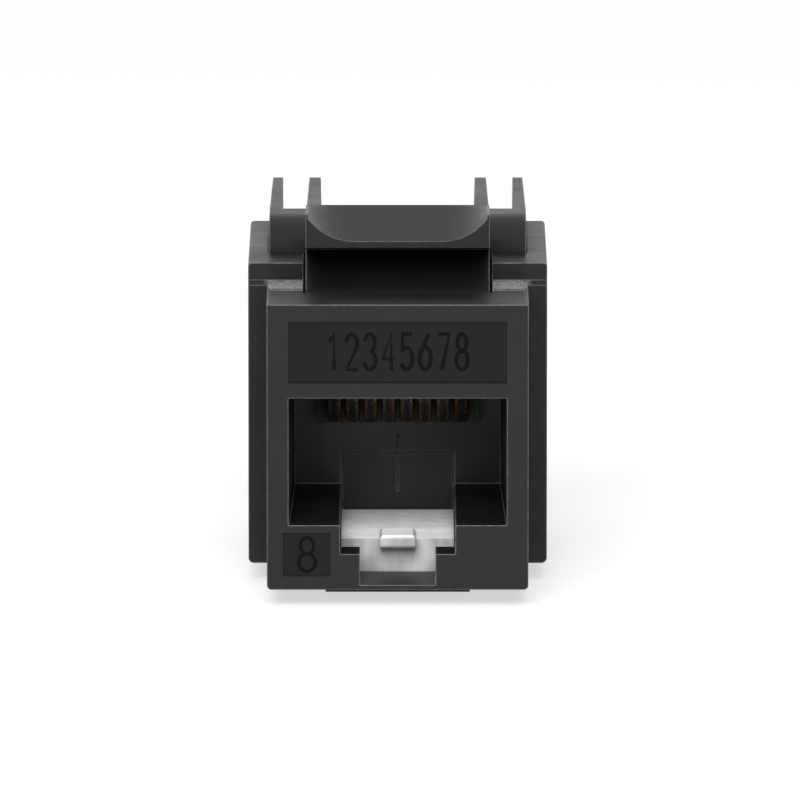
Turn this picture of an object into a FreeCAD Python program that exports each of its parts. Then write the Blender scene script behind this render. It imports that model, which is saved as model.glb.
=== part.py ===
import FreeCAD, Part
import os
import re
import Sketcher

# A keystone jack: a black snap-in housing with a modular socket in front, a sprung panel latch on top, eight
# gold contacts on a slotted comb, a circuit board, and a wiring block with eight insulation-cutting blades
# that open to the rear.
#
# Inside a sub-part X runs to the right, Y runs back from the front face and Z runs up from the bottom of the
# front plate. The placement of every sub-part then moves that point, so that the finished jack has its origin
# under the middle of its bounding box.

SIZES = {
    # front section, the part that shows in the panel
    "front_width": 14.5,
    "brow_height": 5.25,
    "front_depth": 8.2,
    "front_corner": 0.25,
    # recesses for the marks on the front plate
    "title_width": 12.08,
    "title_height": 3.42,
    "title_drop": 0.98,
    "title_depth": 0.15,
    "number_width": 2.63,
    "number_height": 2.44,
    "number_side": 0.9,
    "number_rise": 0.75,
    "number_depth": 0.1,
    # shallow tray in the top of the front section
    "tray_rim": 0.18,
    "tray_length": 5.5,
    "tray_depth": 0.12,
    # fixed lug under the front section
    "lug_width": 8.05,
    "lug_drop": 1.0,
    "lug_length": 3.8,
    "lug_ramp": 0.7,
    "lug_setback": 0.2,
    # wide body behind the front section
    "body_width": 16.7,
    "body_rise": 0.05,
    "body_corner": 0.3,
    "deck_corner": 0.2,
    "shoulder_drop": 0.21,
    "shoulder_step": 0.26,
    "deck_rise": 1.02,
    # side plates that flank the wiring block
    "plate_wall": 1.1,
    "plate_reach": 12.2,
    "plate_corner": 0.4,
    "notch_height": 1.8,
    "notch_depth": 3.8,
    "window_setback": 0.7,
    "window_length": 2.0,
    "window_height": 4.0,
    "window_rise": 6.0,
    "snap_gap": 0.15,
    "snap_shy": 0.5,
    # modular socket
    "socket_width": 12.1,
    "socket_taper": 0.25,
    "socket_rise": 3.62,
    "socket_height": 7.13,
    "socket_depth": 13.6,
    "socket_back": 0.6,
    # notch and channel for the plug's locking tab
    "notch_wide": 6.4,
    "notch_narrow": 4.2,
    "ledge_rise": 2.0,
    "ledge_depth": 2.4,
    "channel_floor": 0.26,
    "channel_step": 0.94,
    # the grooved panel in the socket's rear wall, and the slit that divides it
    "panel_rise": 5.2,
    "groove_width": 0.12,
    "groove_depth": 0.15,
    "slit_rise": 3.2,
    "slit_height": 3.3,
    # clear insert that lies in the channel
    "insert_setback": 4.25,
    "insert_height": 1.9,
    "nub_width": 2.0,
    "nub_length": 2.7,
    "nub_overhang": 0.95,
    "nub_height": 0.75,
    "nub_proud": 0.29,
    "nub_round": 0.25,
    # panel latch
    "latch_width": 10.25,
    "root_setback": 5.0,
    "root_drop": 1.4,
    "root_radius": 0.55,
    "arm_thickness": 0.8,
    "elbow_reach": 0.85,
    "elbow_shift": 0.33,
    "neck_slope": 1.0,
    "pad_setback": 5.9,
    "pad_length": 3.5,
    "pad_bottom": 2.28,
    "pad_lip": 0.35,
    "pad_top": 4.15,
    "pad_undercut": 0.5,
    "scoop_width": 10.0,
    "scoop_corner": 2.6,
    "scoop_bowl": 1.3,
    "catch_height": 1.7,
    "tail_clear": 0.95,
    "tail_thickness": 0.8,
    "pocket_clear": 0.45,
    "pocket_behind": 0.2,
    # comb over the socket, and the contacts in its slots
    "comb_width": 9.2,
    "comb_height": 1.75,
    "comb_setback": 1.25,
    "comb_drop": 3.45,
    "comb_foot": 1.65,
    "slot_roof": 0.3,
    "slot_front": 0.45,
    "slot_back": 0.65,
    "contact_pitch": 1.016,
    "contact_width": 0.7,
    "contact_thickness": 0.3,
    "contact_bend": 0.5,
    "contact_clear": 0.25,
    "contact_tip_inset": 0.4,
    "contact_tip_rise": 0.2,
    # circuit board
    "board_thickness": 1.0,
    "board_gap": 0.15,
    # wiring block
    "block_depth": 3.8,
    "block_round": 1.95,
    "block_skin": 0.95,
    "block_floor": 1.2,
    "block_roof": 2.2,
    "base_wall": 1.75,
    "base_step": 1.3,
    "block_shelf": 1.25,
    "wall_reach": 11.6,
    "outer_wall": 0.77,
    "inner_wall": 0.85,
    "blade_gap": 1.3,
    "wall_taper": 0.1,
    "wall_tip_round": 0.12,
    "wire_pitch": 4.21,
    "wire_slot": 1.2,
    "wire_mouth": 2.2,
    "wire_mouth_depth": 0.9,
    "wire_slot_depth": 8.5,
    "rung_height": 1.2,
    "rung_length": 4.3,
    # insulation-cutting blades
    "blade_thickness": 0.5,
    "blade_height": 2.2,
    "blade_setback": 1.0,
    "fork_slot": 0.28,
    "fork_mouth": 1.1,
    "fork_depth": 7.7,
    "fork_mouth_depth": 0.9,
    "fork_shoulder": 0.35,
    # clearances between pieces
    "fit_gap": 0.05,
    "latch_gap": 0.15,
}

CONTACTS = 8
WIRE_ROWS = 4

# Levels and sides that several pieces share, worked out from the sizes.
SOCKET_TOP = "(socket_rise + socket_height)"
FRONT_TOP = f"({SOCKET_TOP} + brow_height)"
DECK_TOP = f"({FRONT_TOP} + deck_rise)"
BLOCK_TOP = f"({DECK_TOP} + block_round)"
FRONT_SIDE = "(front_width / 2)"
BODY_SIDE = "(body_width / 2)"
BAY_SIDE = f"({BODY_SIDE} - plate_wall)"
BLOCK_SIDE = f"({BAY_SIDE} - fit_gap)"
HOLLOW_SIDE = f"({BLOCK_SIDE} - block_skin)"
HOLLOW_BOTTOM = "(block_floor - lug_drop)"
HOLLOW_TOP = f"({BLOCK_TOP} - block_roof)"
BLADE_COLUMN = f"({BLOCK_SIDE} - outer_wall - blade_gap / 2)"
FIRST_WIRE = f"(({BLOCK_TOP} - lug_drop - {WIRE_ROWS - 1} * wire_pitch) / 2)"

# The same from front to rear: the socket's back, the board behind it and the wiring block around both.
SOCKET_REAR = "(socket_depth + socket_back)"
BOARD_FRONT = f"({SOCKET_REAR} + fit_gap)"
BOARD_REAR = f"({BOARD_FRONT} + board_thickness)"
BASE_REAR = f"({BOARD_REAR} + base_wall)"
BLOCK_REAR = f"({BASE_REAR} - base_step)"
BAY_FRONT = f"({BLOCK_REAR} - block_depth)"
PLATE_REAR = f"({BAY_FRONT} + plate_reach)"
TOTAL_DEPTH = f"({BLOCK_REAR} + wall_reach)"

# Places inside the front housing.
CHANNEL_STEP = "(front_depth + fit_gap)"
CHANNEL_REAR_FLOOR = "(channel_floor + channel_step)"
INSERT_TOP = "(channel_floor + insert_height)"
PANEL_TOP = "(channel_floor + panel_rise)"
ROOT_LEVEL = f"({FRONT_TOP} - root_drop)"
POCKET_WIDTH = "(latch_width + 2 * latch_gap)"
COMB_TOP = f"({SOCKET_TOP} + comb_height)"
COMB_REAR = "(socket_depth - fit_gap)"
FOOT_FRONT = f"({COMB_REAR} - comb_foot)"
FOOT_BOTTOM = f"({SOCKET_TOP} - comb_drop)"
SLOT_FRONT = "(comb_setback + slot_front)"
SLOT_TOP = f"({COMB_TOP} - slot_roof)"
CONTACT_LEVEL = f"({SLOT_TOP} - contact_clear - contact_thickness / 2)"

WORD = re.compile(r"[a-z]\w*")


def linked(formula):
    """The formula for an expression, with each size read from its cell."""
    return WORD.sub(lambda word: "Sizes." + word.group(), str(formula))


def number(formula):
    """The value of the formula in millimetres."""
    text = WORD.sub(lambda word: str(SIZES[word.group()]), str(formula))
    return FreeCAD.Units.Quantity(text).Value


def fill_sheet(doc):
    """Puts every driving dimension into the spreadsheet, under its own name."""
    sheet = doc.addObject("Spreadsheet::Sheet", "Sizes")
    for row, (name, value) in enumerate(SIZES.items(), start=1):
        sheet.set(f"A{row}", name)
        sheet.set(f"B{row}", str(value))
        sheet.setAlias(f"B{row}", name)
    doc.recompute()


def new_body(doc, name, across="0", up="0"):
    """A sub-part, placed so that the jack's origin lies under the middle of its bounding box."""
    body = doc.addObject("PartDesign::Body", name)
    body.Label = name
    body.setExpression("Placement.Base.x", linked(across))
    body.setExpression("Placement.Base.y", linked(f"-{TOTAL_DEPTH} / 2"))
    body.setExpression("Placement.Base.z", linked(f"lug_drop + {up}"))
    return body


def own(body, role):
    """One of the body's own origin planes or axes."""
    return next(item for item in body.Origin.OriginFeatures if item.Role == role)


def lay(item, body, role, away="0"):
    """Attaches a sketch or a primitive to one of its body's planes, pushed out along the plane's normal."""
    item.AttachmentSupport = (own(body, role), [""])
    item.MapMode = "FlatFace"
    item.setExpression("AttachmentOffset.Base.z", linked(away))


def hold(sketch, piece, end, corner):
    """Ties one end of a line or an arc to a corner, both of its coordinates read from the sheet."""
    for axis, formula in zip(("DistanceX", "DistanceY"), corner):
        constraint = Sketcher.Constraint(axis, -1, 1, piece, end, number(formula))
        sketch.setExpression(f"Constraints[{sketch.addConstraint(constraint)}]", linked(formula))


def spot(corner):
    """A corner's place in its sketch."""
    return FreeCAD.Vector(number(corner[0]), number(corner[1]), 0)


def outline(body, name, role, loops, away="0", rounds=None):
    """A sketch of closed loops of straight lines on one of the body's planes.

    rounds maps the number of a corner to the centre of an arc that runs from it to the next one, with the
    radius, in place of the straight line.
    """
    sketch = body.newObject("Sketcher::SketchObject", name)
    lay(sketch, body, role, away)
    rounds = rounds or {}
    for corners in loops:
        first = sketch.GeometryCount
        for index, corner in enumerate(corners):
            following = corners[(index + 1) % len(corners)]
            if index in rounds:
                add_round(sketch, corner, following, *rounds[index])
            else:
                sketch.addGeometry(Part.LineSegment(spot(corner), spot(following)))
                hold(sketch, first + index, 1, corner)
                hold(sketch, first + index, 2, following)
    return sketch


def add_round(sketch, corner, following, centre, radius):
    """An arc from one corner to the next, turning to the left about its centre."""
    start = spot(corner) - spot(centre)
    stop = spot(following) - spot(centre)
    circle = Part.Circle(spot(centre), FreeCAD.Vector(0, 0, 1), number(radius))
    begin = FreeCAD.Vector(1, 0, 0).getAngle(start) * (1 if start.y >= 0 else -1)
    finish = FreeCAD.Vector(1, 0, 0).getAngle(stop) * (1 if stop.y >= 0 else -1)
    arc = sketch.addGeometry(Part.ArcOfCircle(circle, begin, finish))
    hold(sketch, arc, 1, corner)
    hold(sketch, arc, 2, following)
    constraint = sketch.addConstraint(Sketcher.Constraint("Radius", arc, number(radius)))
    sketch.setExpression(f"Constraints[{constraint}]", linked(radius))


def rectangle(left, right, low, high):
    """The corners of a rectangle in a sketch."""
    return [(left, low), (right, low), (right, high), (left, high)]


def centred(width, low, high):
    """A rectangle that is as wide to the left of the middle as to the right."""
    return rectangle(f"-{width} / 2", f"{width} / 2", low, high)


def round_bottomed(half_width, low, high, radius):
    """A tall shape with two rounded lower corners, and the rounds that outline needs for it."""
    inner = f"({half_width} - {radius})"
    corner_top = f"({low} + {radius})"
    corners = [
        (f"-{inner}", low),
        (inner, low),
        (half_width, corner_top),
        (half_width, high),
        (f"-{half_width}", high),
        (f"-{half_width}", corner_top),
    ]
    rounds = {
        1: ((inner, corner_top), radius),
        5: ((f"-{inner}", corner_top), radius),
    }
    return corners, rounds


def both_sides(corners):
    """A loop to the right of the middle, and its mirror image to the left."""
    return [corners, [(f"-({x})", y) for x, y in corners]]


def feature(body, kind, name, sketch, length, symmetric=False, backwards=False):
    """A pad or a pocket of the given length."""
    item = body.newObject("PartDesign::" + kind, name)
    item.Profile = sketch
    item.SideType = "Symmetric" if symmetric else "One side"
    item.Reversed = backwards
    item.setExpression("Length", linked(length))
    return item


def repeat(body, name, originals, role, spacing, times):
    """Copies of a feature in a straight row along one of the body's axes."""
    pattern = body.newObject("PartDesign::LinearPattern", name)
    pattern.Originals = originals
    pattern.Direction = (own(body, role), [""])
    pattern.Occurrences = times
    pattern.setExpression("Length", linked(f"{spacing} * {times - 1}"))
    body.Tip = pattern
    return pattern


def edges_at(shape, places):
    """Names of the edges that keep the given coordinates along their whole length."""
    names = []
    for index, edge in enumerate(shape.Edges, start=1):
        box = edge.BoundBox
        spans = {"x": (box.XMin, box.XMax), "y": (box.YMin, box.YMax), "z": (box.ZMin, box.ZMax)}
        for place in places:
            ends = [abs(end - number(place[axis])) for axis in place for end in spans[axis]]
            if max(ends) < 1e-4:
                names.append(f"Edge{index}")
                break
    return names


def fillet(body, name, radius, places):
    """Rounds the edges of the body's last feature that lie at the given places."""
    body.Document.recompute()
    last = body.Tip
    item = body.newObject("PartDesign::Fillet", name)
    item.Base = (last, edges_at(last.Shape, places))
    item.setExpression("Radius", linked(radius))
    return item


# --- front housing ----------------------------------------------------------------------------------------


def make_front_housing(doc):
    """One moulding: front section, socket, lug, wide body and the two side plates."""
    body = new_body(doc, "front_housing")
    add_wide_body(body)
    add_front_section(body)
    cut_socket(body)
    cut_latch_pocket(body)
    cut_front_marks(body)
    return body


def add_wide_body(body):
    """The wide body from the shoulder back, hollowed between its side plates for the wiring block."""
    side_view = [
        ("front_depth", "body_rise"),
        (PLATE_REAR, "body_rise"),
        (PLATE_REAR, DECK_TOP),
        ("front_depth + shoulder_step", DECK_TOP),
        ("front_depth + shoulder_step", f"{FRONT_TOP} - shoulder_drop + shoulder_step"),
        ("front_depth", f"{FRONT_TOP} - shoulder_drop"),
    ]
    sketch = outline(body, "body_side_view", "YZ_Plane", [side_view])
    feature(body, "Pad", "wide_body", sketch, "body_width", symmetric=True)
    fillet(body, "body_corners", "body_corner", [
        {"x": BODY_SIDE, "z": "body_rise"},
        {"x": f"-{BODY_SIDE}", "z": "body_rise"},
    ])
    fillet(body, "deck_corners", "deck_corner", [
        {"x": BODY_SIDE, "z": DECK_TOP},
        {"x": f"-{BODY_SIDE}", "z": DECK_TOP},
    ])
    fillet(body, "plate_corners", "plate_corner", [
        {"x": BODY_SIDE, "y": PLATE_REAR},
        {"x": f"-{BODY_SIDE}", "y": PLATE_REAR},
    ])
    plan = centred(f"(2 * {BAY_SIDE})", BAY_FRONT, f"{PLATE_REAR} + 1")
    bay = outline(body, "bay_plan", "XY_Plane", [plan])
    feature(body, "Pocket", "bay", bay, f"{DECK_TOP} + 1", backwards=True)
    window_front = f"{BAY_FRONT} + window_setback"
    window_rear = f"{window_front} + window_length"
    window = rectangle(window_front, window_rear, "window_rise", "window_rise + window_height")
    sketch = outline(body, "window_side_view", "YZ_Plane", [window])
    feature(body, "Pocket", "snap_windows", sketch, "body_width + 1", symmetric=True)
    low = f"{FIRST_WIRE} - notch_height / 2"
    high = f"{FIRST_WIRE} + notch_height / 2"
    notch = rectangle(f"{PLATE_REAR} - notch_depth", f"{PLATE_REAR} + 1", low, high)
    sketch = outline(body, "wire_notch_side_view", "YZ_Plane", [notch])
    cut = feature(body, "Pocket", "wire_notch", sketch, "body_width + 1", symmetric=True)
    repeat(body, "wire_notches", [cut], "Z_Axis", "wire_pitch", WIRE_ROWS)
    rear_width = f"2 * ({HOLLOW_SIDE} - fit_gap)"
    rear_end = centred(rear_width, f"{HOLLOW_BOTTOM} + fit_gap", f"{HOLLOW_TOP} - fit_gap")
    plug = outline(body, "rear_end_front_view", "XZ_Plane", [rear_end], away=f"-{BAY_FRONT}")
    feature(body, "Pad", "socket_rear_end", plug, f"{SOCKET_REAR} - {BAY_FRONT}", backwards=True)


def add_front_section(body):
    """The block that fills the panel opening, with the tray in its top and the lug under it."""
    corners, rounds = round_bottomed(FRONT_SIDE, "0", FRONT_TOP, "front_corner")
    face = outline(body, "front_view", "XZ_Plane", [corners], rounds=rounds)
    feature(body, "Pad", "front_section", face, "front_depth", backwards=True)
    lug_rear = "front_depth - lug_setback"
    lug_view = [
        (f"{lug_rear} - lug_length", "0"),
        (f"{lug_rear} - lug_length + lug_ramp", "-lug_drop"),
        (lug_rear, "-lug_drop"),
        (lug_rear, "0"),
    ]
    sketch = outline(body, "lug_side_view", "YZ_Plane", [lug_view])
    feature(body, "Pad", "panel_lug", sketch, "lug_width", symmetric=True)
    tray = centred("(front_width - 2 * tray_rim)", "tray_rim", "tray_rim + tray_length")
    sketch = outline(body, "tray_plan", "XY_Plane", [tray], away=FRONT_TOP)
    feature(body, "Pocket", "top_tray", sketch, "tray_depth")


def cut_socket(body):
    """The socket, narrowing a little to the rear, the stepped notch below it and the channel behind."""
    plan = [
        ("-socket_width / 2", "0"),
        ("socket_width / 2", "0"),
        ("socket_width / 2 - socket_taper", "socket_depth"),
        ("-socket_width / 2 + socket_taper", "socket_depth"),
    ]
    sketch = outline(body, "socket_plan", "XY_Plane", [plan], away="socket_rise")
    feature(body, "Pocket", "socket", sketch, "socket_height", backwards=True)
    notch = [
        ("-notch_wide / 2", "socket_rise"),
        ("-notch_wide / 2", "ledge_rise"),
        ("-notch_narrow / 2", "ledge_rise"),
        ("-notch_narrow / 2", "channel_floor"),
        ("notch_narrow / 2", "channel_floor"),
        ("notch_narrow / 2", "ledge_rise"),
        ("notch_wide / 2", "ledge_rise"),
        ("notch_wide / 2", "socket_rise"),
    ]
    sketch = outline(body, "notch_front_view", "XZ_Plane", [notch])
    feature(body, "Pocket", "tab_notch", sketch, "ledge_depth")
    channel = [
        ("ledge_depth", "channel_floor"),
        (CHANNEL_STEP, "channel_floor"),
        (CHANNEL_STEP, CHANNEL_REAR_FLOOR),
        ("socket_depth", CHANNEL_REAR_FLOOR),
        ("socket_depth", "socket_rise"),
        ("ledge_depth", "socket_rise"),
    ]
    sketch = outline(body, "channel_side_view", "YZ_Plane", [channel])
    feature(body, "Pocket", "tab_channel", sketch, "notch_wide", symmetric=True)
    cut_rear_panel(body)
    seat = centred("(comb_width + 2 * fit_gap)", SOCKET_TOP, f"{COMB_TOP} + fit_gap")
    sketch = outline(body, "comb_seat_view", "XZ_Plane", [seat], away=f"-{SOCKET_REAR}")
    feature(body, "Pocket", "comb_seat", sketch, f"{SOCKET_REAR} - comb_setback + fit_gap", backwards=True)


def cut_rear_panel(body):
    """The groove that frames a panel in the socket's rear wall, and the slit down its middle."""
    side = "notch_wide / 2"
    inner_side = f"{side} - groove_width"
    inner_top = f"{PANEL_TOP} - groove_width"
    groove = [
        (f"-{side}", INSERT_TOP),
        (f"-({inner_side})", INSERT_TOP),
        (f"-({inner_side})", inner_top),
        (inner_side, inner_top),
        (inner_side, INSERT_TOP),
        (side, INSERT_TOP),
        (side, PANEL_TOP),
        (f"-{side}", PANEL_TOP),
    ]
    sketch = outline(body, "panel_front_view", "XZ_Plane", [groove], away="-socket_depth")
    feature(body, "Pocket", "panel_groove", sketch, "groove_depth")
    slit = centred("groove_width", "slit_rise", "slit_rise + slit_height")
    sketch = outline(body, "slit_front_view", "XZ_Plane", [slit], away="-socket_depth")
    feature(body, "Pocket", "panel_slit", sketch, "groove_depth")


def cut_latch_pocket(body):
    """The deep pocket that the latch dips into, with the round seat of its root in the front wall."""
    floor = f"{ROOT_LEVEL} - root_radius - pocket_clear"
    pocket = rectangle("root_setback", f"{BAY_FRONT} + pocket_behind", floor, f"{DECK_TOP} + 1")
    sketch = outline(body, "pocket_side_view", "YZ_Plane", [pocket])
    feature(body, "Pocket", "latch_pocket", sketch, POCKET_WIDTH, symmetric=True)
    sketch = body.newObject("Sketcher::SketchObject", "root_seat_view")
    lay(sketch, body, "YZ_Plane")
    add_circle(sketch, ("root_setback", ROOT_LEVEL), "root_radius + fit_gap")
    feature(body, "Pocket", "root_seat", sketch, POCKET_WIDTH, symmetric=True)


def add_circle(sketch, centre, radius):
    """A full circle about a point of the sketch."""
    circle = sketch.addGeometry(Part.Circle(spot(centre), FreeCAD.Vector(0, 0, 1), number(radius)))
    hold(sketch, circle, 3, centre)
    constraint = sketch.addConstraint(Sketcher.Constraint("Radius", circle, number(radius)))
    sketch.setExpression(f"Constraints[{constraint}]", linked(radius))


def cut_front_marks(body):
    """The shallow recesses for the title strip over the socket and for the number below it."""
    title_top = f"{FRONT_TOP} - title_drop"
    title = centred("title_width", f"{title_top} - title_height", title_top)
    sketch = outline(body, "title_front_view", "XZ_Plane", [title])
    feature(body, "Pocket", "title_recess", sketch, "title_depth")
    left = "-front_width / 2 + number_side"
    square = rectangle(left, f"{left} + number_width", "number_rise", "number_rise + number_height")
    sketch = outline(body, "number_front_view", "XZ_Plane", [square])
    feature(body, "Pocket", "number_recess", sketch, "number_depth")


# --- pieces in the front housing --------------------------------------------------------------------------


def make_clear_insert(doc):
    """The clear moulding in the tab channel: a stepped tongue along its floor, with a nub at the front."""
    body = new_body(doc, "clear_insert")
    side_view = [
        ("insert_setback", "channel_floor"),
        (f"{CHANNEL_STEP} - fit_gap", "channel_floor"),
        (f"{CHANNEL_STEP} - fit_gap", CHANNEL_REAR_FLOOR),
        ("socket_depth - fit_gap", CHANNEL_REAR_FLOOR),
        ("socket_depth - fit_gap", INSERT_TOP),
        ("insert_setback", INSERT_TOP),
    ]
    sketch = outline(body, "insert_side_view", "YZ_Plane", [side_view])
    feature(body, "Pad", "tongue", sketch, "notch_wide - 2 * fit_gap", symmetric=True)
    nub_front = "insert_setback - nub_overhang"
    nub_top = f"{INSERT_TOP} + nub_proud"
    nub = rectangle(nub_front, f"{nub_front} + nub_length", f"{nub_top} - nub_height", nub_top)
    sketch = outline(body, "nub_side_view", "YZ_Plane", [nub])
    feature(body, "Pad", "nub", sketch, "nub_width", symmetric=True)
    fillet(body, "nub_rounding", "nub_round", [
        {"y": nub_front, "z": nub_top},
        {"y": nub_front, "z": f"{nub_top} - nub_height"},
        {"x": "nub_width / 2", "z": nub_top},
        {"x": "-nub_width / 2", "z": nub_top},
    ])
    return body


def make_contact_comb(doc):
    """The black carrier over the socket, with a slot for each contact and a foot behind their tips."""
    body = new_body(doc, "contact_comb")
    side_view = [
        ("comb_setback", SOCKET_TOP),
        (FOOT_FRONT, SOCKET_TOP),
        (FOOT_FRONT, FOOT_BOTTOM),
        (COMB_REAR, FOOT_BOTTOM),
        (COMB_REAR, SOCKET_TOP),
        (SOCKET_REAR, SOCKET_TOP),
        (SOCKET_REAR, COMB_TOP),
        ("comb_setback", COMB_TOP),
    ]
    sketch = outline(body, "comb_side_view", "YZ_Plane", [side_view])
    feature(body, "Pad", "comb", sketch, "comb_width", symmetric=True)
    slot_rear = f"{COMB_REAR} - slot_back"
    tunnel_floor = f"{CONTACT_LEVEL} - contact_thickness / 2 - contact_clear"
    slot_view = [
        (SLOT_FRONT, f"{SOCKET_TOP} - fit_gap"),
        (FOOT_FRONT, f"{SOCKET_TOP} - fit_gap"),
        (FOOT_FRONT, f"{FOOT_BOTTOM} - fit_gap"),
        (slot_rear, f"{FOOT_BOTTOM} - fit_gap"),
        (slot_rear, tunnel_floor),
        (BOARD_FRONT, tunnel_floor),
        (BOARD_FRONT, SLOT_TOP),
        (SLOT_FRONT, SLOT_TOP),
    ]
    slot_width = "(contact_width + 2 * fit_gap)"
    first = f"-{(CONTACTS - 1) / 2} * contact_pitch - {slot_width} / 2"
    sketch = outline(body, "slot_side_view", "YZ_Plane", [slot_view], away=first)
    slot = feature(body, "Pocket", "contact_slot", sketch, slot_width, backwards=True)
    repeat(body, "contact_slots", [slot], "X_Axis", "contact_pitch", CONTACTS)
    return body


def make_contact(doc, index):
    """A gold strip from the board along its slot, bent back at the front to slope down through the socket."""
    across = f"{index - (CONTACTS - 1) / 2} * contact_pitch"
    body = new_body(doc, f"contact_{index + 1}", across=across)
    front = f"{SLOT_FRONT} + contact_clear + contact_thickness / 2 + contact_bend"
    tail = (BOARD_FRONT, CONTACT_LEVEL)
    bend = (front, CONTACT_LEVEL)
    centre = (front, f"{CONTACT_LEVEL} - contact_bend")
    tip = (f"{FOOT_FRONT} + contact_tip_inset", f"{FOOT_BOTTOM} + contact_tip_rise")
    path = body.newObject("Sketcher::SketchObject", "contact_path")
    lay(path, body, "YZ_Plane")
    run = path.addGeometry(Part.LineSegment(spot(tail), spot(bend)))
    hold(path, run, 1, tail)
    hold(path, run, 2, bend)
    slope = (spot(tip) - spot(centre)).normalize()
    turned = FreeCAD.Vector(slope.y, -slope.x, 0) * number("contact_bend")
    middle = spot(centre) + FreeCAD.Vector(-1, 0, 0) * number("contact_bend")
    arc = path.addGeometry(Part.Arc(spot(bend), middle, spot(centre) + turned))
    back = path.addGeometry(Part.LineSegment(spot(centre) + turned, spot(tip)))
    path.addConstraint(Sketcher.Constraint("Tangent", run, 2, arc, 1))
    path.addConstraint(Sketcher.Constraint("Tangent", arc, 2, back, 1))
    constraint = path.addConstraint(Sketcher.Constraint("Radius", arc, number("contact_bend")))
    path.setExpression(f"Constraints[{constraint}]", linked("contact_bend"))
    hold(path, back, 2, tip)
    half = "contact_thickness / 2"
    section = centred("contact_width", f"{CONTACT_LEVEL} - {half}", f"{CONTACT_LEVEL} + {half}")
    profile = outline(body, "contact_section", "XZ_Plane", [section], away=f"-{BOARD_FRONT}")
    pipe = body.newObject("PartDesign::AdditivePipe", "contact_strip")
    pipe.Profile = profile
    pipe.Spine = path
    return body


# --- panel latch ------------------------------------------------------------------------------------------


def make_panel_latch(doc):
    """The sprung latch: a round root, an arm that turns up at an elbow, and a scooped pad with its catch."""
    body = new_body(doc, "panel_latch")
    arm_top = f"{ROOT_LEVEL} + arm_thickness / 2"
    arm_bottom = f"{ROOT_LEVEL} - arm_thickness / 2"
    pad_low = f"{FRONT_TOP} + pad_bottom"
    pad_high = f"{FRONT_TOP} + pad_top"
    pad_rear = "pad_setback + pad_length"
    tail_rear = f"{BAY_FRONT} - tail_clear"
    tail_top = f"{pad_high} - catch_height"
    tail_bottom = f"{tail_top} - tail_thickness"
    elbow = "root_setback + elbow_reach"
    elbow_below = f"{elbow} + elbow_shift"
    neck_top = f"{pad_low} - pad_undercut"
    side_view = [
        ("root_setback", arm_bottom),
        (elbow_below, arm_bottom),
        (f"{elbow_below} + ({tail_bottom} - ({arm_bottom})) / neck_slope", tail_bottom),
        (tail_rear, tail_bottom),
        (tail_rear, tail_top),
        (pad_rear, tail_top),
        (pad_rear, pad_high),
        ("pad_setback", pad_high),
        ("pad_setback", pad_low),
        (f"{elbow} + ({neck_top} - ({arm_top})) / neck_slope", neck_top),
        (elbow, arm_top),
        ("root_setback", arm_top),
    ]
    sketch = outline(body, "latch_side_view", "YZ_Plane", [side_view])
    feature(body, "Pad", "latch_arm", sketch, "latch_width", symmetric=True)
    sketch = body.newObject("Sketcher::SketchObject", "root_view")
    lay(sketch, body, "YZ_Plane")
    add_circle(sketch, ("root_setback", ROOT_LEVEL), "root_radius")
    feature(body, "Pad", "latch_root", sketch, "latch_width", symmetric=True)
    cut_scoop(body, f"({pad_low} + pad_lip)", f"({pad_high})")
    return body


def cut_scoop(body, low, high):
    """The thumb scoop: bowed corners at the lip, blending into a straight crest at the rear of the pad."""
    side = "scoop_width / 2"
    flat = f"({side} - scoop_corner)"
    above = f"{high} + scoop_bowl"
    bowl_top = f"{low} + scoop_bowl"
    radius = "((scoop_corner * scoop_corner + scoop_bowl * scoop_bowl) / (2 * scoop_bowl))"
    lip = [
        (f"-{side}", above),
        (f"-{side}", bowl_top),
        (f"-{flat}", low),
        (flat, low),
        (side, bowl_top),
        (side, above),
    ]
    crest = [(x, high if z != above else above) for x, z in lip]
    rounds = {
        1: ((f"-{flat}", f"{low} + {radius}"), radius),
        3: ((flat, f"{low} + {radius}"), radius),
    }
    front = outline(body, "scoop_front_view", "XZ_Plane", [lip], away="-pad_setback", rounds=rounds)
    rear = outline(body, "scoop_rear_view", "XZ_Plane", [crest], away="-(pad_setback + pad_length)")
    scoop = body.newObject("PartDesign::SubtractiveLoft", "scoop")
    scoop.Profile = front
    scoop.Sections = [rear]
    scoop.Ruled = True


# --- rear pieces ------------------------------------------------------------------------------------------


def make_circuit_board(doc):
    """The upright board between the contacts and the blades."""
    body = new_body(doc, "circuit_board")
    board_width = f"2 * ({HOLLOW_SIDE} - board_gap)"
    face = centred(board_width, f"{HOLLOW_BOTTOM} + board_gap", f"{HOLLOW_TOP} - board_gap")
    sketch = outline(body, "board_front_view", "XZ_Plane", [face], away=f"-{BOARD_FRONT}")
    feature(body, "Pad", "board", sketch, "board_thickness", backwards=True)
    return body


def make_idc_block(doc):
    """The wiring block: a hollow head behind the deck and four slotted walls that run to the rear."""
    body = new_body(doc, "idc_block")
    add_block_head(body)
    add_walls(body)
    add_snaps(body)
    cut_blade_seats(body)
    return body


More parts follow.
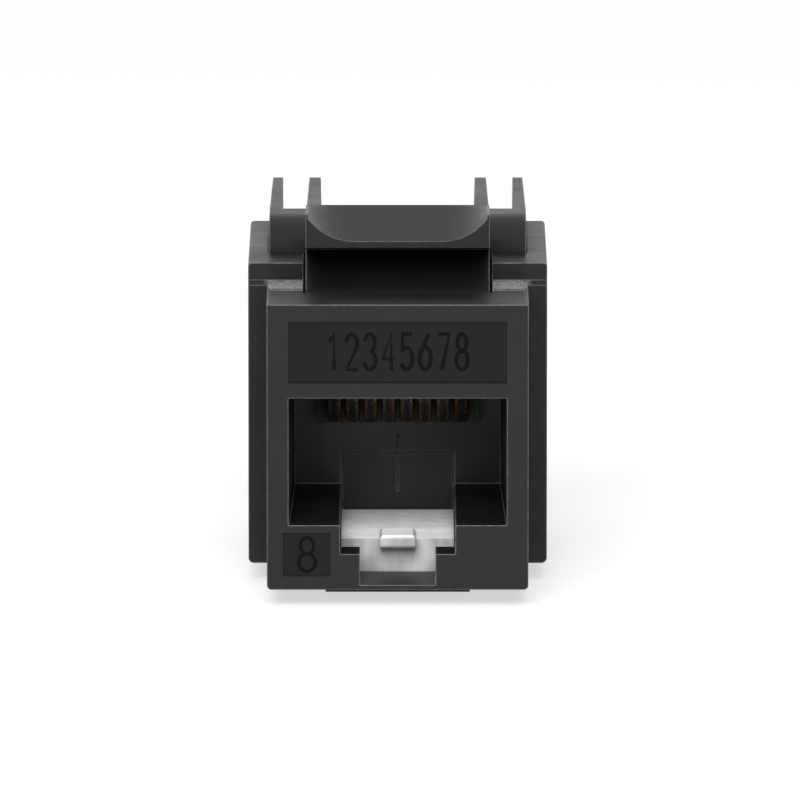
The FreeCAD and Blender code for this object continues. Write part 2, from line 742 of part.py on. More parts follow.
def add_block_head(body):
    """The head with its quarter-round front edge, open to the front below the deck for the board."""
    base_top = f"{BLOCK_TOP} - block_shelf"
    side_view = [
        (BAY_FRONT, "-lug_drop"),
        (BASE_REAR, "-lug_drop"),
        (BASE_REAR, base_top),
        (BLOCK_REAR, base_top),
        (BLOCK_REAR, BLOCK_TOP),
        (f"{BAY_FRONT} + block_round", BLOCK_TOP),
        (BAY_FRONT, DECK_TOP),
    ]
    rounds = {5: ((f"{BAY_FRONT} + block_round", DECK_TOP), "block_round")}
    sketch = outline(body, "block_side_view", "YZ_Plane", [side_view], rounds=rounds)
    feature(body, "Pad", "block_head", sketch, f"2 * {BLOCK_SIDE}", symmetric=True)
    hollow = centred(f"2 * {HOLLOW_SIDE}", HOLLOW_BOTTOM, HOLLOW_TOP)
    sketch = outline(body, "hollow_front_view", "XZ_Plane", [hollow], away=f"-{BAY_FRONT}")
    feature(body, "Pocket", "board_hollow", sketch, f"{BOARD_REAR} - {BAY_FRONT}")


def add_walls(body):
    """Two walls to each side, tapering to the rear, slotted for four wires, with rungs between them."""
    outer_face = BLOCK_SIDE
    outer_inside = f"{outer_face} - outer_wall"
    inner_outside = f"{outer_inside} - blade_gap"
    inner_inside = f"{inner_outside} - inner_wall"
    outer_wall = wall_plan(outer_inside, outer_face)
    inner_wall = wall_plan(inner_inside, inner_outside)
    sketch = outline(body, "wall_plan", "XY_Plane", both_sides(outer_wall) + both_sides(inner_wall),
                     away="-lug_drop")
    feature(body, "Pad", "walls", sketch, f"{BLOCK_TOP} + lug_drop")
    tips = [{"x": f"{side}({x})", "y": TOTAL_DEPTH}
            for side in ("", "-") for wall in (outer_wall, inner_wall) for x, y in wall[1:3]]
    fillet(body, "wall_tips", "wall_tip_round", tips)
    mouth = f"{TOTAL_DEPTH} - wire_mouth_depth"
    bottom = f"{TOTAL_DEPTH} - wire_slot_depth"
    beyond = f"{TOTAL_DEPTH} + 0.1"
    slot = [
        (bottom, f"{FIRST_WIRE} - wire_slot / 2"),
        (mouth, f"{FIRST_WIRE} - wire_slot / 2"),
        (beyond, f"{FIRST_WIRE} - wire_mouth / 2"),
        (beyond, f"{FIRST_WIRE} + wire_mouth / 2"),
        (mouth, f"{FIRST_WIRE} + wire_slot / 2"),
        (bottom, f"{FIRST_WIRE} + wire_slot / 2"),
    ]
    sketch = outline(body, "wire_slot_side_view", "YZ_Plane", [slot])
    cut = feature(body, "Pocket", "wire_slot_cut", sketch, "body_width", symmetric=True)
    repeat(body, "wire_slots", [cut], "Z_Axis", "wire_pitch", WIRE_ROWS)
    rung_middle = f"{FIRST_WIRE} + wire_pitch / 2"
    rung = rectangle(f"{inner_outside} - wall_taper", f"{outer_inside} + wall_taper", BLOCK_REAR,
                     f"{BLOCK_REAR} + rung_length")
    sketch = outline(body, "rung_plan", "XY_Plane", both_sides(rung), away=f"{rung_middle} - rung_height / 2")
    pad = feature(body, "Pad", "rung", sketch, "rung_height")
    repeat(body, "rungs", [pad], "Z_Axis", "wire_pitch", WIRE_ROWS - 1)


def wall_plan(inside, outside):
    """A wall seen from above, thinner at its rear tip than at the block."""
    return [
        (inside, BLOCK_REAR),
        (f"{inside} + wall_taper", TOTAL_DEPTH),
        (f"{outside} - wall_taper", TOTAL_DEPTH),
        (outside, BLOCK_REAR),
    ]


def add_snaps(body):
    """The ramped lugs on the block's sides that click into the windows of the side plates."""
    front = f"{BAY_FRONT} + window_setback + snap_gap"
    rear = f"{BAY_FRONT} + window_setback + window_length - snap_gap"
    crest = f"{BODY_SIDE} - snap_shy"
    snap = [
        (HOLLOW_SIDE, front),
        (BLOCK_SIDE, front),
        (crest, f"({front} + {rear}) / 2"),
        (crest, rear),
        (HOLLOW_SIDE, rear),
    ]
    sketch = outline(body, "snap_plan", "XY_Plane", both_sides(snap), away="window_rise + snap_gap")
    feature(body, "Pad", "snaps", sketch, "window_height - 2 * snap_gap")


def cut_blade_seats(body):
    """The narrow slots through the base that the blades stand in."""
    across = "(blade_thickness / 2 + fit_gap)"
    up = "(blade_height / 2 + fit_gap)"
    seat = rectangle(f"{BLADE_COLUMN} - {across}", f"{BLADE_COLUMN} + {across}",
                     f"{FIRST_WIRE} - {up}", f"{FIRST_WIRE} + {up}")
    sketch = outline(body, "seat_front_view", "XZ_Plane", both_sides(seat), away=f"-{BOARD_REAR}")
    cut = feature(body, "Pocket", "blade_seat", sketch, f"{BASE_REAR} - {BOARD_REAR}")
    repeat(body, "blade_seats", [cut], "Z_Axis", "wire_pitch", WIRE_ROWS)


def make_blade(doc, index):
    """A forked blade that stands on the board and opens to the rear between the twin walls."""
    side = "-" if index < WIRE_ROWS else ""
    row = index % WIRE_ROWS
    body = new_body(doc, f"idc_blade_{index + 1}", across=f"{side}{BLADE_COLUMN}",
                    up=f"{FIRST_WIRE} + {row} * wire_pitch")
    rear = f"{TOTAL_DEPTH} - blade_setback"
    upper = [
        (BOARD_REAR, "blade_height / 2"),
        (f"{rear} - fork_mouth_depth", "blade_height / 2"),
        (rear, "blade_height / 2 - fork_shoulder"),
        (rear, "fork_mouth / 2"),
        (f"{rear} - fork_mouth_depth", "fork_slot / 2"),
        (f"{rear} - fork_depth", "fork_slot / 2"),
    ]
    lower = [(y, f"-({z})") for y, z in reversed(upper)]
    sketch = outline(body, "blade_side_view", "YZ_Plane", [upper + lower])
    feature(body, "Pad", "blade", sketch, "blade_thickness", symmetric=True)
    return body


# --- the whole jack ---------------------------------------------------------------------------------------


def make_jack(doc):
    """Every sub-part of the jack."""
    fill_sheet(doc)
    pieces = [
        make_front_housing(doc),
        make_clear_insert(doc),
        make_contact_comb(doc),
        make_panel_latch(doc),
        make_circuit_board(doc),
        make_idc_block(doc),
    ]
    pieces += [make_contact(doc, index) for index in range(CONTACTS)]
    pieces += [make_blade(doc, index) for index in range(2 * WIRE_ROWS)]
    doc.recompute()
    return pieces


def check(doc, pieces):
    """Stops before anything is written if an object failed or a sub-part isn't one valid solid."""
    for item in doc.Objects:
        if {"Invalid", "Error"} & set(item.State):
            raise RuntimeError(f"{item.Name} failed: {item.State}")
    for body in pieces:
        if body.Shape.isNull() or not body.Shape.isValid():
            raise RuntimeError(f"{body.Label} has no valid shape")
        if len(body.Shape.Solids) != 1:
            raise RuntimeError(f"{body.Label} has {len(body.Shape.Solids)} solids")


def main():
    doc = FreeCAD.newDocument("keystone_jack")
    pieces = make_jack(doc)
    check(doc, pieces)
    os.makedirs("parts", exist_ok=True)
    for body in pieces:
        body.Shape.exportStep(f"parts/{body.Label}.step")


main()
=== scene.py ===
import math

import bmesh
import bpy
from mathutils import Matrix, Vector


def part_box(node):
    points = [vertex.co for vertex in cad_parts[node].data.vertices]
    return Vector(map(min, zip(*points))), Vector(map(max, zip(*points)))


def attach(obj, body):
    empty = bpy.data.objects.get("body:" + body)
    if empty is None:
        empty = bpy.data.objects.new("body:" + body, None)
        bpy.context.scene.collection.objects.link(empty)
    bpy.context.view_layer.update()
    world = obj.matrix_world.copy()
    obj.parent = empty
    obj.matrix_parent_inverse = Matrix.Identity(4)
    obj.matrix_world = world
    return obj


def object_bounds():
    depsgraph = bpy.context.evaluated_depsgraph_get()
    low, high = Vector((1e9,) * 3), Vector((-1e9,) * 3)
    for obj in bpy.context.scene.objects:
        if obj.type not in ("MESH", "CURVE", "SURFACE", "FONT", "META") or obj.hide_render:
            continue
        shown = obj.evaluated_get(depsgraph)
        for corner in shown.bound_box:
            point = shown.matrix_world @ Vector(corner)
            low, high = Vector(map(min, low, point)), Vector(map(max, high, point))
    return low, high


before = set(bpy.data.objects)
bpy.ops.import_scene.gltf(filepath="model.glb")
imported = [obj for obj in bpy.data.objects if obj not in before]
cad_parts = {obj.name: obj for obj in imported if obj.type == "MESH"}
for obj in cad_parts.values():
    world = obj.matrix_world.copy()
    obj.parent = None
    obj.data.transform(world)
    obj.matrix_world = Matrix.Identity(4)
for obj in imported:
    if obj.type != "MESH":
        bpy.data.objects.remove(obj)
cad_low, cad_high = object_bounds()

# The looks of a keystone jack: satin black mouldings, a frosted clear insert in the socket's channel, gold
# contacts on a slotted comb, tinned wiring blades and a green circuit board. Everything is in metres.

MM = 0.001
FRONT = cad_low.y            # the plane of the front plate
PLATE_BOTTOM = 1.0 * MM      # the front plate ends this far above the floor, and the lug fills the rest
TITLE_DEPTH = 0.15 * MM      # the depth of the wide recess in the plate
NUMBER_DEPTH = 0.1 * MM      # the depth of the small recess
ROOM_FILL = 0.2              # the room's light on things, where 1 is the white that it shows
FLOOR_GLOW = 0.62            # the light that the paper adds where it is seen, so that it shows as white

# Sizes in millimetres, for the finishes.
CONTACT_PITCH = 1.016
HIGHLIGHT_FADE = 0.35            # the width over which a painted highlight fades out
NO_HIGHLIGHT_FADE = 0.01            # the same for a place that keeps no painted highlight
LACQUER = 0.05               # the thickness of the board's lacquer

PAINTED_HIGHLIGHT = "#8A8A8A"           # painted highlight: a pale grey on the black plastic's edges and lands
PAINTED_DARK_REFLECTION = "#20170C"       # painted dark reflection down the middle of each contact


# --- camera, floor and light ----------------------------------------------------------------------------


def place_camera():
    """A long lens that looks a little down on the front plate."""
    focal_length = 691
    elevation = math.radians(9.5)
    distance = 850 * MM
    aim = Vector((0.13 * MM, FRONT, 11.67 * MM))
    back = Vector((0, -math.cos(elevation), math.sin(elevation)))
    lens = bpy.data.cameras.new("front_camera")
    lens.sensor_width = 36
    lens.lens = focal_length
    lens.clip_start = 10 * MM
    lens.clip_end = 10
    camera = bpy.data.objects.new("front_camera", lens)
    camera.location = aim + back * distance
    camera.rotation_mode = "QUATERNION"
    camera.rotation_quaternion = (-back).to_track_quat("-Z", "Y")
    bpy.context.collection.objects.link(camera)
    bpy.context.scene.camera = camera


def linear(colour):
    """The linear red, green, blue and alpha of an sRGB hex colour."""
    parts = [int(colour[place:place + 2], 16) / 255 for place in (1, 3, 5)]
    return [part / 12.92 if part <= 0.04045 else ((part + 0.055) / 1.055) ** 2.4 for part in parts] + [1.0]


def add(tree, kind, inputs=None, **settings):
    """A node of that kind. Each input is a value or another node's output."""
    node = tree.nodes.new(kind)
    for name, value in settings.items():
        setattr(node, name, value)
    for name, value in (inputs or {}).items():
        if isinstance(value, bpy.types.NodeSocket):
            tree.links.new(value, node.inputs[name])
        else:
            node.inputs[name].default_value = value
    return node


def calculate(tree, operation, first, second):
    """The result of a maths operation on two numbers or outputs."""
    return add(tree, "ShaderNodeMath", {0: first, 1: second}, operation=operation).outputs[0]


def ramp(tree, value, low, high, to_low=0.0, to_high=1.0):
    """A value's range from low to high, spread over another range and kept inside it."""
    return add(tree, "ShaderNodeMapRange", {
        "Value": value, "From Min": low, "From Max": high, "To Min": to_low, "To Max": to_high,
    }).outputs["Result"]


def noise(tree, point, scale, detail):
    """A cloudy texture, about 0.3 to 0.7."""
    return add(tree, "ShaderNodeTexNoise", {"Vector": point, "Scale": scale, "Detail": detail}).outputs["Fac"]


def blend(tree, factor, first, second):
    """A colour between two, each a hex colour or another node's output."""
    mix = add(tree, "ShaderNodeMix", {"Factor": factor}, data_type="RGBA")
    for name, colour in (("A", first), ("B", second)):
        if isinstance(colour, str):
            mix.inputs[name].default_value = linear(colour)
        else:
            tree.links.new(colour, mix.inputs[name])
    return mix.outputs["Result"]


def seen_as_backdrop(tree):
    """1 for rays from the camera, from gloss and through clear plastic, and 0 for the light on things."""
    path = add(tree, "ShaderNodeLightPath")
    sharp = calculate(tree, "MAXIMUM", path.outputs["Is Camera Ray"], path.outputs["Is Glossy Ray"])
    return calculate(tree, "MAXIMUM", sharp, path.outputs["Is Transmission Ray"])


def light_the_room():
    """A white room: it shows as plain white and gives the object an even fill."""
    room = bpy.data.worlds.new("white_room")
    bpy.context.scene.world = room
    room.use_nodes = True
    tree = room.node_tree
    tree.nodes.clear()
    fill = add(tree, "ShaderNodeBackground", {"Color": linear("#FFFFFF"), "Strength": ROOM_FILL})
    shown = add(tree, "ShaderNodeBackground", {"Color": linear("#FFFFFF"), "Strength": 1.0})
    both = add(tree, "ShaderNodeMixShader", {
        0: seen_as_backdrop(tree), 1: fill.outputs[0], 2: shown.outputs[0],
    })
    add(tree, "ShaderNodeOutputWorld", {"Surface": both.outputs[0]})



def add_softbox(name, position, aim, size, power):
    """A square lamp that faces a point. Gloss mirrors only the even white room, not the lamp."""
    lamp = bpy.data.lights.new(name, "AREA")
    lamp.shape = "SQUARE"
    lamp.size = size
    lamp.energy = power
    softbox = bpy.data.objects.new(name, lamp)
    softbox.location = position
    softbox.visible_glossy = False
    softbox.rotation_mode = "QUATERNION"
    softbox.rotation_quaternion = (Vector(aim) - Vector(position)).to_track_quat("-Z", "Y")
    bpy.context.collection.objects.link(softbox)


def lay_floor():
    """A pale sheet that keeps the object's shadow."""
    half = 1.5
    mesh = bpy.data.meshes.new("floor")
    corners = [(-half, -half, 0), (half, -half, 0), (half, half, 0), (-half, half, 0)]
    mesh.from_pydata(corners, [], [(0, 1, 2, 3)])
    floor = bpy.data.objects.new("floor", mesh)
    floor.location.z = -0.01 * MM
    bpy.context.collection.objects.link(floor)
    paper = bpy.data.materials.new("white_paper")
    paper.use_nodes = True
    tree = paper.node_tree
    tree.nodes.clear()
    sheet = add(tree, "ShaderNodeBsdfDiffuse", {"Color": linear("#909090")})
    glow = add(tree, "ShaderNodeEmission", {"Color": linear("#FFFFFF"), "Strength": FLOOR_GLOW})
    lit = add(tree, "ShaderNodeAddShader", {0: sheet.outputs[0], 1: glow.outputs[0]})
    both = add(tree, "ShaderNodeMixShader", {
        0: seen_as_backdrop(tree), 1: sheet.outputs[0], 2: lit.outputs[0],
    })
    add(tree, "ShaderNodeOutputMaterial", {"Surface": both.outputs[0]})
    mesh.materials.append(paper)



# --- finishes -------------------------------------------------------------------------------------------


def new_finish(name):
    """An empty material, and its nodes."""
    finish = bpy.data.materials.new(name)
    finish.use_nodes = True
    finish.node_tree.nodes.clear()
    return finish, finish.node_tree


def in_millimetres(tree):
    """The point on the piece, in millimetres in the shared frame."""
    place = add(tree, "ShaderNodeTexCoord")
    return add(tree, "ShaderNodeVectorMath", {0: place.outputs["Object"], 1: (1000, 1000, 1000)},
               operation="MULTIPLY").outputs[0]


def within(tree, point, low, high, fade):
    """1 inside a box of millimetres, falling to 0 over a fade towards its sides, and 0 outside."""
    middle = [(a + b) / 2 for a, b in zip(low, high)]
    half = [(b - a) / 2 for a, b in zip(low, high)]
    offset = add(tree, "ShaderNodeVectorMath", {0: point, 1: middle}, operation="SUBTRACT")
    outward = add(tree, "ShaderNodeVectorMath", {0: offset.outputs[0]}, operation="ABSOLUTE")
    room = add(tree, "ShaderNodeVectorMath", {0: half, 1: outward.outputs[0]}, operation="SUBTRACT")
    apart = add(tree, "ShaderNodeSeparateXYZ", {"Vector": room.outputs[0]})
    least = calculate(tree, "MINIMUM", apart.outputs["X"], apart.outputs["Y"])
    least = calculate(tree, "MINIMUM", least, apart.outputs["Z"])
    return ramp(tree, least, 0.0, fade)


def relief(tree, height, depth, smooth):
    """The direction of a surface with a texture that many millimetres deep over its smooth direction."""
    return add(tree, "ShaderNodeBump", {
        "Height": height, "Distance": depth * MM, "Strength": 1.0, "Normal": smooth,
    }).outputs["Normal"]


def lighter(colour, times):
    """A hex colour with each part that many times as bright."""
    parts = [min(255, round(int(colour[place:place + 2], 16) * times)) for place in (1, 3, 5)]
    return "#%02X%02X%02X" % tuple(parts)


def painted_highlight_on_top(tree, point, flat):
    """The painted highlight on the upward faces, in streaks from front to rear, and 0 on every other face."""
    streaks = add(tree, "ShaderNodeMapping", {"Vector": point, "Scale": (7.0, 0.5, 1.0)})
    strength = ramp(tree, noise(tree, streaks.outputs[0], 1.0, 3.0), 0.35, 0.65, 0.5, 0.85)
    upward = add(tree, "ShaderNodeSeparateXYZ", {"Vector": flat})
    return calculate(tree, "MULTIPLY", strength, ramp(tree, upward.outputs["Z"], 0.5, 0.9))


def moulded_plastic(name, colour, roughness, grain, grain_depth, edge, highlight_boxes=(), no_highlight_boxes=()):
    """Black engineering plastic, spark-textured in the mould. Sizes are in millimetres.

    The grain breaks the gloss into a satin, the slow cloud is the melt's uneven shine, and the edges are
    rounded a little and carry a painted highlight, a pale grey that stands in for a thin light line.
    Highlight boxes get the same painted highlight in streaks over their upward faces, and no-highlight boxes
    get none.
    """
    finish, tree = new_finish(name)
    point = in_millimetres(tree)
    rounded = add(tree, "ShaderNodeBevel", {"Radius": edge * MM}, samples=8).outputs["Normal"]
    flat = add(tree, "ShaderNodeNewGeometry").outputs["True Normal"]
    turned = add(tree, "ShaderNodeVectorMath", {0: rounded, 1: flat}, operation="DOT_PRODUCT")
    # Painted highlight: pale grey on the edges, where the rounded normal turns away from the true one.
    highlight_mask = ramp(tree, turned.outputs["Value"], 0.995, 0.8, 0.0, 0.55)
    if highlight_boxes:
        top_highlight = painted_highlight_on_top(tree, point, flat)
        for low, high in highlight_boxes:
            highlight_patch = calculate(tree, "MULTIPLY", top_highlight, within(tree, point, low, high, HIGHLIGHT_FADE))
            highlight_mask = calculate(tree, "MAXIMUM", highlight_mask, highlight_patch)
    for low, high in no_highlight_boxes:
        outside = calculate(tree, "SUBTRACT", 1.0, within(tree, point, low, high, NO_HIGHLIGHT_FADE))
        highlight_mask = calculate(tree, "MULTIPLY", highlight_mask, outside)
    patchy = ramp(tree, noise(tree, point, 3.0, 4.0), 0.3, 0.6, 0.45, 1.0)
    highlight_mask = calculate(tree, "MULTIPLY", highlight_mask, patchy)
    spark = noise(tree, point, 1 / grain, 3.0)
    cloud = noise(tree, point, 0.35, 2.0)
    tone = blend(tree, spark, colour, lighter(colour, 1.18))
    plastic = add(tree, "ShaderNodeBsdfPrincipled", {
        "Base Color": blend(tree, highlight_mask, tone, PAINTED_HIGHLIGHT), "IOR": 1.43,
        "Roughness": ramp(tree, cloud, 0.3, 0.7, roughness - 0.05, roughness + 0.05),
        "Normal": relief(tree, spark, grain_depth, rounded),
    })
    add(tree, "ShaderNodeOutputMaterial", {"Surface": plastic.outputs[0]})
    return finish


def smooth_plastic(name, colour, roughness, ior):
    """The black plastic where the mould was smooth: no grain, and darker than the satin round it."""
    finish, tree = new_finish(name)
    flow = noise(tree, in_millimetres(tree), 0.9, 2.0)
    plastic = add(tree, "ShaderNodeBsdfPrincipled", {
        "Base Color": blend(tree, flow, colour, lighter(colour, 1.2)), "IOR": ior,
        "Roughness": ramp(tree, flow, 0.3, 0.7, roughness - 0.05, roughness + 0.05),
    })
    add(tree, "ShaderNodeOutputMaterial", {"Surface": plastic.outputs[0]})
    return finish


def frosted_polycarbonate():
    """Frosted polycarbonate, with painted light and shade: white on its upward faces and grey on the others.
    """
    finish, tree = new_finish("frosted_polycarbonate")
    point = in_millimetres(tree)
    clearness = ramp(tree, noise(tree, point, 1.2, 3.0), 0.3, 0.7, 0.0, 0.08)
    normal = add(tree, "ShaderNodeNewGeometry").outputs["Normal"]
    facing = add(tree, "ShaderNodeSeparateXYZ", {"Vector": normal})
    upward = ramp(tree, facing.outputs["Z"], 0.45, 0.95)
    streaks = add(tree, "ShaderNodeMapping", {"Vector": point, "Scale": (0.8, 0.8, 0.3)})
    inside = ramp(tree, noise(tree, streaks.outputs[0], 1.0, 2.0), 0.35, 0.65)
    # Painted light and shade: the upward faces get the lit white, all other faces the shaded grey.
    face = blend(tree, inside, "#808080", "#9E9E9E")
    crown = blend(tree, inside, "#E8E8E8", "#F8F8F8")
    soft_edge = add(tree, "ShaderNodeBevel", {"Radius": 0.12 * MM}, samples=6)
    plastic = add(tree, "ShaderNodeBsdfPrincipled", {
        "Base Color": blend(tree, upward, face, crown), "Roughness": 0.2, "IOR": 1.58,
        "Transmission Weight": clearness, "Subsurface Weight": 0.1,
        "Subsurface Radius": (1.0, 1.0, 1.0), "Subsurface Scale": 0.5 * MM,
        "Normal": soft_edge.outputs["Normal"],
    })
    add(tree, "ShaderNodeOutputMaterial", {"Surface": plastic.outputs[0]})
    return finish


def plated_metal(name, colour, dull_colour, roughness, streak, edge, pitch=None):
    """Rolled strip under a thin plating: long fine streaks from the rollers, and duller clouds.

    With a pitch, each strip of a row has a painted dark reflection down its middle, between lighter edges.
    """
    finish, tree = new_finish(name)
    point = in_millimetres(tree)
    drawn = add(tree, "ShaderNodeMapping", {"Vector": point, "Scale": (1 / streak, 0.15, 1 / streak)})
    lines = noise(tree, drawn.outputs[0], 1.0, 2.0)
    tone = blend(tree, noise(tree, point, 0.8, 2.0), colour, dull_colour)
    if pitch:
        half = pitch / 2
        apart = add(tree, "ShaderNodeSeparateXYZ", {"Vector": point})
        inward = calculate(tree, "PINGPONG", apart.outputs["X"], half)
        # Painted reflection: the middle of each contact is darkened, as if it mirrored the dark cavity.
        tone = blend(tree, ramp(tree, inward, half - 0.24, half - 0.12), tone, PAINTED_DARK_REFLECTION)
    soft_edge = add(tree, "ShaderNodeBevel", {"Radius": edge * MM}, samples=8)
    metal = add(tree, "ShaderNodeBsdfPrincipled", {
        "Base Color": tone, "Metallic": 1.0,
        "Roughness": ramp(tree, lines, 0.3, 0.7, roughness - 0.06, roughness + 0.08),
        "Normal": relief(tree, lines, 0.0002, soft_edge.outputs["Normal"]),
    })
    add(tree, "ShaderNodeOutputMaterial", {"Surface": metal.outputs[0]})
    return finish


def solder_mask_on_glass_laminate():
    """Green lacquer on both faces of a glass-cloth board, with the pale cut edge of the laminate between."""
    finish, tree = new_finish("solder_mask_on_glass_laminate")
    point = in_millimetres(tree)
    low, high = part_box("circuit_board")
    apart = add(tree, "ShaderNodeSeparateXYZ", {"Vector": point})
    middle = (low.y + high.y) / 2 / MM
    from_middle = calculate(tree, "SUBTRACT", apart.outputs["Y"], middle)
    outward = add(tree, "ShaderNodeMath", {0: from_middle}, operation="ABSOLUTE")
    inside = calculate(tree, "LESS_THAN", outward.outputs[0], (high.y - low.y) / 2 / MM - LACQUER)
    weave = add(tree, "ShaderNodeTexWave", {"Vector": point, "Scale": 1.6, "Distortion": 0.6, "Detail": 1.0},
                bands_direction="Y")
    cut_edge = blend(tree, weave.outputs["Fac"], "#8E9455", "#B9BC83")
    mask = blend(tree, noise(tree, point, 0.5, 1.0), "#0E4A27", "#17663A")
    board = add(tree, "ShaderNodeBsdfPrincipled", {
        "Base Color": blend(tree, inside, mask, cut_edge), "IOR": 1.55,
        "Roughness": ramp(tree, inside, 0.0, 1.0, 0.25, 0.6),
    })
    add(tree, "ShaderNodeOutputMaterial", {"Surface": board.outputs[0]})
    return finish


def give(finish, *nodes):
    """Puts a finish on CAD nodes."""
    for node in nodes:
        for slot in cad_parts[node].material_slots:
            slot.material = finish


# --- numbers on the front plate -------------------------------------------------------------------------


def arc(across, up, half_width, half_height, start, end):
    """Points of an ellipse's arc from one angle to another, in degrees."""
    steps = max(6, round(abs(end - start) / 12))
    angles = [math.radians(start + (end - start) * step / steps) for step in range(steps + 1)]
    return [(across + half_width * math.cos(a), up + half_height * math.sin(a)) for a in angles]


# The middle lines of each numeral's strokes, in a box one wide and one high.
NUMERALS = {
    1: [[(0.2, 0.78), (0.55, 1.0), (0.55, 0.0)]],
    2: [arc(0.5, 0.72, 0.44, 0.28, 170, -25) + [(0.06, 0.0), (0.96, 0.0)]],
    3: [arc(0.48, 0.755, 0.4, 0.245, 165, -80), arc(0.48, 0.26, 0.46, 0.26, 85, -165)],
    4: [[(0.72, 0.0), (0.72, 1.0), (0.02, 0.3), (0.98, 0.3)]],
    5: [[(0.9, 1.0), (0.16, 1.0), (0.1, 0.53)] + arc(0.48, 0.31, 0.46, 0.31, 135, -155)],
    6: [[(0.78, 1.0), (0.1, 0.44)], arc(0.5, 0.31, 0.46, 0.31, 155, 515)],
    7: [[(0.04, 1.0), (0.96, 1.0), (0.36, 0.0)]],
    8: [arc(0.5, 0.76, 0.37, 0.24, 0, 360), arc(0.5, 0.265, 0.46, 0.265, 0, 360)],
}


def plate_piece(name, source):
    """A solid piece on the front plate, with the shape of a curve or a sheet, which is then removed."""
    mesh = bpy.data.meshes.new_from_object(source.evaluated_get(bpy.context.evaluated_depsgraph_get()))
    bpy.data.objects.remove(source)
    piece = bpy.data.objects.new(name, mesh)
    bpy.context.collection.objects.link(piece)
    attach(piece, "jack")
    return piece


def raised_numerals(name, row, height, width, stroke, depth):
    """Numerals that stand on a recess floor as half-round strokes.

    The row gives (numeral, centre x, bottom z).
    """
    curve = bpy.data.curves.new(name, "CURVE")
    curve.dimensions = "3D"
    curve.bevel_depth = stroke / 2
    curve.bevel_resolution = 3
    curve.use_fill_caps = True
    for numeral, centre, bottom in row:
        for strokes in NUMERALS[numeral]:
            closed = (Vector(strokes[0]) - Vector(strokes[-1])).length < 1e-6
            points = strokes[:-1] if closed else strokes
            spline = curve.splines.new("POLY")
            spline.points.add(len(points) - 1)
            spline.use_cyclic_u = closed
            for point, (across, up) in zip(spline.points, points):
                point.co = (centre + (across - 0.5) * width, FRONT + depth, bottom + up * height, 1)
    drawn = bpy.data.objects.new(name, curve)
    bpy.context.collection.objects.link(drawn)
    piece = plate_piece(name, drawn)
    for face in piece.data.polygons:
        face.use_smooth = True
    return piece


def recess_skin(name, depth):
    """The smooth floor of a recess in the front plate, taken from the housing's own faces at that depth."""
    skin_thickness = 0.012 * MM
    on_floor = 0.004 * MM
    shape = bmesh.new()
    shape.from_mesh(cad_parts["front_housing"].data)
    others = [face for face in shape.faces
              if face.normal.y > -0.99 or abs(face.calc_center_median().y - FRONT - depth) > on_floor]
    bmesh.ops.delete(shape, geom=others, context="FACES")
    bmesh.ops.remove_doubles(shape, verts=shape.verts, dist=0.001 * MM)
    mesh = bpy.data.meshes.new(name)
    shape.to_mesh(mesh)
    shape.free()
    sheet = bpy.data.objects.new(name, mesh)
    bpy.context.collection.objects.link(sheet)
    thick = sheet.modifiers.new("thickness", "SOLIDIFY")
    thick.thickness = skin_thickness
    thick.offset = 1.0
    return plate_piece(name, sheet)


def number_the_front():
    """Contact numbers in the title strip, each over its own contact, and one numeral in the small recess."""
    pins = [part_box(f"contact_{pin}") for pin in range(1, 9)]
    strip_bottom = PLATE_BOTTOM + 12.35 * MM
    row = [(pin, (low.x + high.x) / 2, strip_bottom) for pin, (low, high) in enumerate(pins, start=1)]
    strip = raised_numerals("contact_numbers", row, height=2.0 * MM, width=0.68 * MM, stroke=0.2 * MM,
                            depth=TITLE_DEPTH)
    square = raised_numerals("jack_number", [(8, -5.03 * MM, PLATE_BOTTOM + 1.02 * MM)], height=1.9 * MM,
                             width=1.0 * MM, stroke=0.18 * MM, depth=NUMBER_DEPTH)
    return strip, square


# --- the jack -------------------------------------------------------------------------------------------

bpy.context.scene.view_settings.view_transform = "Standard"
place_camera()
light_the_room()
lay_floor()
centre = Vector((0, 0, 10 * MM))
add_softbox("overhead_softbox", (0, 150 * MM, 800 * MM), centre, size=900 * MM, power=3.8)
add_softbox("front_softbox", (-80 * MM, -840 * MM, 570 * MM), centre, size=600 * MM, power=22)
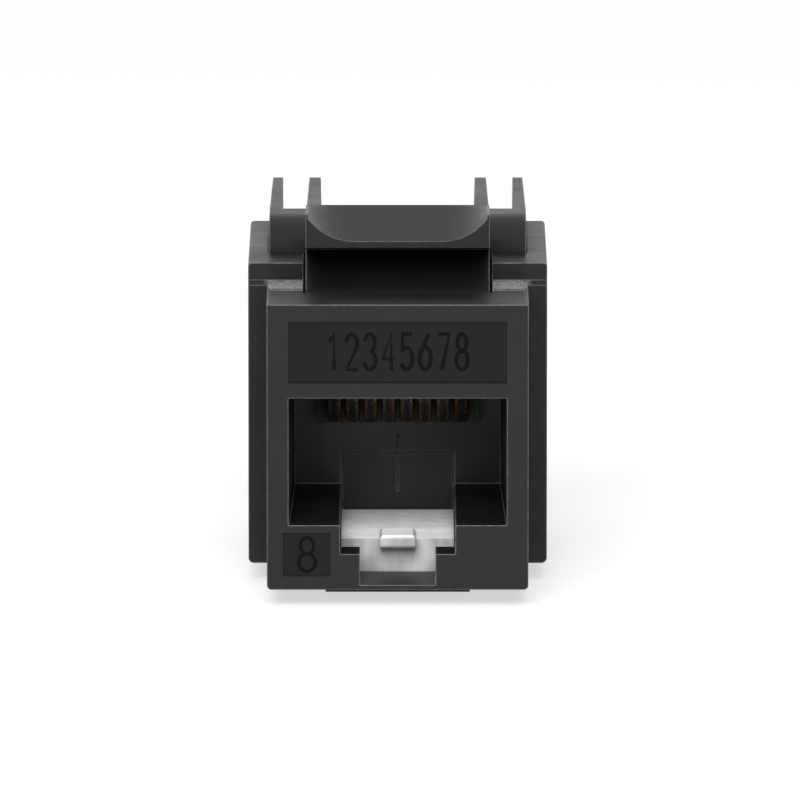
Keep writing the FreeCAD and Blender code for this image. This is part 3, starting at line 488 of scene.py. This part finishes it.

# The lands beside the latch, behind the tray, get a pale painted highlight in streaks.
highlighted_lands = [
    ((-7.5, FRONT / MM + 5.6, 16.62), (-4.9, FRONT / MM + 8.7, 17.38)),
    ((4.9, FRONT / MM + 5.6, 16.62), (7.5, FRONT / MM + 8.7, 17.38)),
]
# The recesses' own edges get no painted highlight and stay dark.
recesses = [
    ((-6.3, FRONT / MM - 0.1, 12.3), (6.3, FRONT / MM + 0.4, 16.2)),
    ((-6.5, FRONT / MM - 0.1, 1.6), (-3.6, FRONT / MM + 0.4, 4.3)),
]
housing_plastic = moulded_plastic("satin_black_abs_housing", "#0C0C0D", roughness=0.44, grain=0.09,
                                  grain_depth=0.0022, edge=0.13, highlight_boxes=highlighted_lands, no_highlight_boxes=recesses)
# The latch's black is darker than the housing's: partly its own plastic, partly painted shade for under the
# pad.
latch_plastic = moulded_plastic("satin_black_acetal_latch", "#060606", roughness=0.34, grain=0.12,
                                grain_depth=0.002, edge=0.1)
block_plastic = moulded_plastic("satin_black_pbt_block", "#090909", roughness=0.44, grain=0.1,
                                grain_depth=0.0022, edge=0.13)
comb_plastic = moulded_plastic("matt_black_lcp_comb", "#0B0B0B", roughness=0.6, grain=0.07,
                               grain_depth=0.003, edge=0.05)
gold = plated_metal("gold_plated_bronze", "#C99B4A", "#9A7132", roughness=0.24, streak=0.05, edge=0.15,
                    pitch=CONTACT_PITCH)
tin = plated_metal("tin_plated_bronze", "#C9C8C2", "#9B9993", roughness=0.34, streak=0.08, edge=0.08)

give(housing_plastic, "front_housing")
give(latch_plastic, "panel_latch")
give(block_plastic, "idc_block")
give(comb_plastic, "contact_comb")
give(frosted_polycarbonate(), "clear_insert")
give(solder_mask_on_glass_laminate(), "circuit_board")
give(gold, *[f"contact_{number}" for number in range(1, 9)])
give(tin, *[f"idc_blade_{number}" for number in range(1, 9)])

smooth_recess = smooth_plastic("smooth_black_abs_recess", "#0B0B0C", roughness=0.45, ior=1.3)
smooth_numeral = smooth_plastic("polished_black_abs_numeral", "#040404", roughness=0.3, ior=1.2)
pieces = [(piece, smooth_numeral) for piece in number_the_front()]
pieces.append((recess_skin("title_recess_floor", TITLE_DEPTH), smooth_recess))
pieces.append((recess_skin("number_recess_floor", NUMBER_DEPTH), smooth_recess))
for piece, finish in pieces:
    piece.data.materials.clear()
    piece.data.materials.append(finish)
